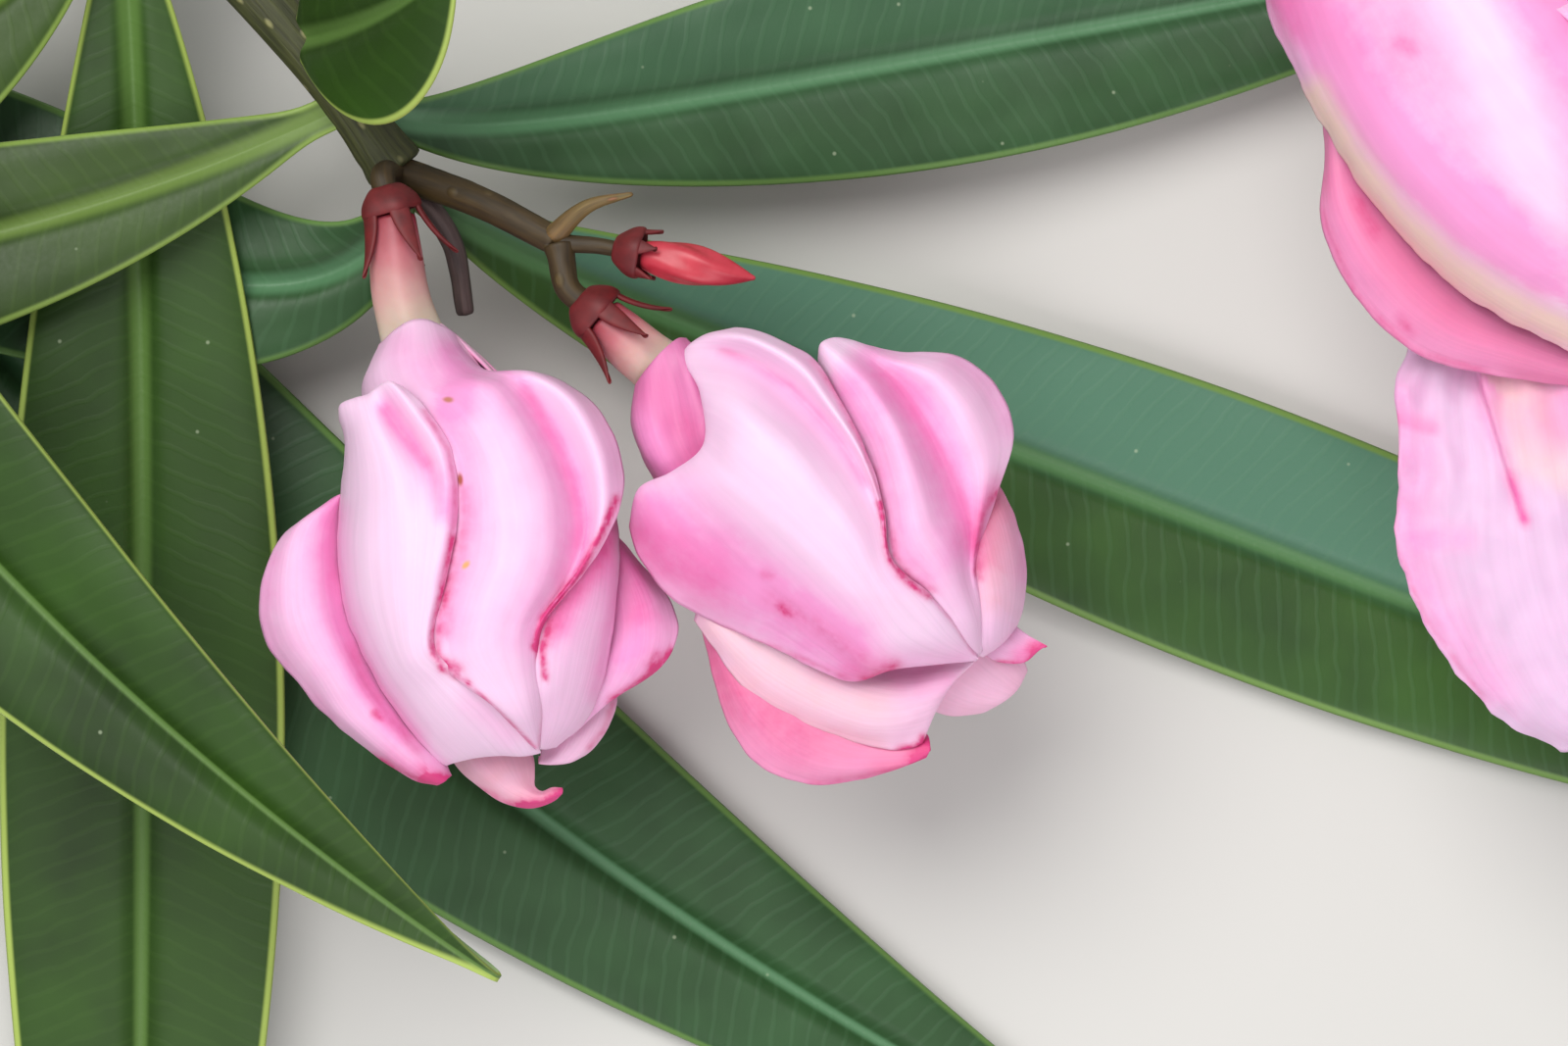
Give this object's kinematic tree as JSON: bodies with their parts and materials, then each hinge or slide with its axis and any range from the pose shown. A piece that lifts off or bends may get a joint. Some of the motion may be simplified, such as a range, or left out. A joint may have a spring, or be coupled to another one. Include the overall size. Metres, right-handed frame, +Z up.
{
  "type": "cut oleander sprig",
  "caption": "Cut flowering sprig of double pink oleander lying on a surface: a tapering woody stem with a side shoot, long narrow leaves in whorls, furled double blooms and small red buds.",
  "frame": {"origin": "on the surface that the sprig lies on, under the middle of its bounding box", "axes": "+Z up from the surface; +X from the cut end of the stem toward the open bloom; +Y away from the long hanging leaf"},
  "size_m": [0.2402, 0.2024, 0.0479],
  "materials": {
    "bark": "thin grey-brown to olive bark with pale pores",
    "stalk": "smooth reddish-brown stalk",
    "calyx": "dark red, satin",
    "petal": "soft pink petals, paler at the folds and hot pink at the rims",
    "bud": "closed bud, deep pink-red, satin",
    "leaf": "leathery dark green leaf, half gloss, pale midrib"
  },
  "bodies": {
    "root": {"main_stem": "bark", "side_shoot": "bark", "head_stalk": "stalk", "spent_stalk": "stalk", "bract": "stalk", "bloom_right": "petal", "bloom_left": "petal", "bloom_open": "petal", "bud_right": "bud", "bud_shoot": "bud", "bud_shoot_low": "bud", "bloom_right_calyx": "calyx", "bloom_right_stalk": "stalk", "bloom_left_calyx": "calyx", "bloom_left_stalk": "stalk", "bloom_open_calyx": "calyx", "bloom_open_stalk": "stalk", "bud_right_calyx": "calyx", "bud_right_stalk": "stalk", "bud_shoot_calyx": "calyx", "bud_shoot_stalk": "stalk", "bud_shoot_low_calyx": "calyx", "bud_shoot_low_stalk": "stalk", "leaf_front": "leaf", "leaf_floor": "leaf", "leaf_back": "leaf", "leaf_hanging": "leaf", "leaf_rising": "leaf", "leaf_turned": "leaf", "leaf_far": "leaf", "leaf_left": "leaf", "leaf_small": "leaf", "leaf_right": "leaf", "leaf_low": "leaf", "leaf_shoot_left": "leaf", "leaf_shoot_right": "leaf", "leaf_tip": "leaf", "leaf_tip_small": "leaf"}
  },
  "joints": []
}
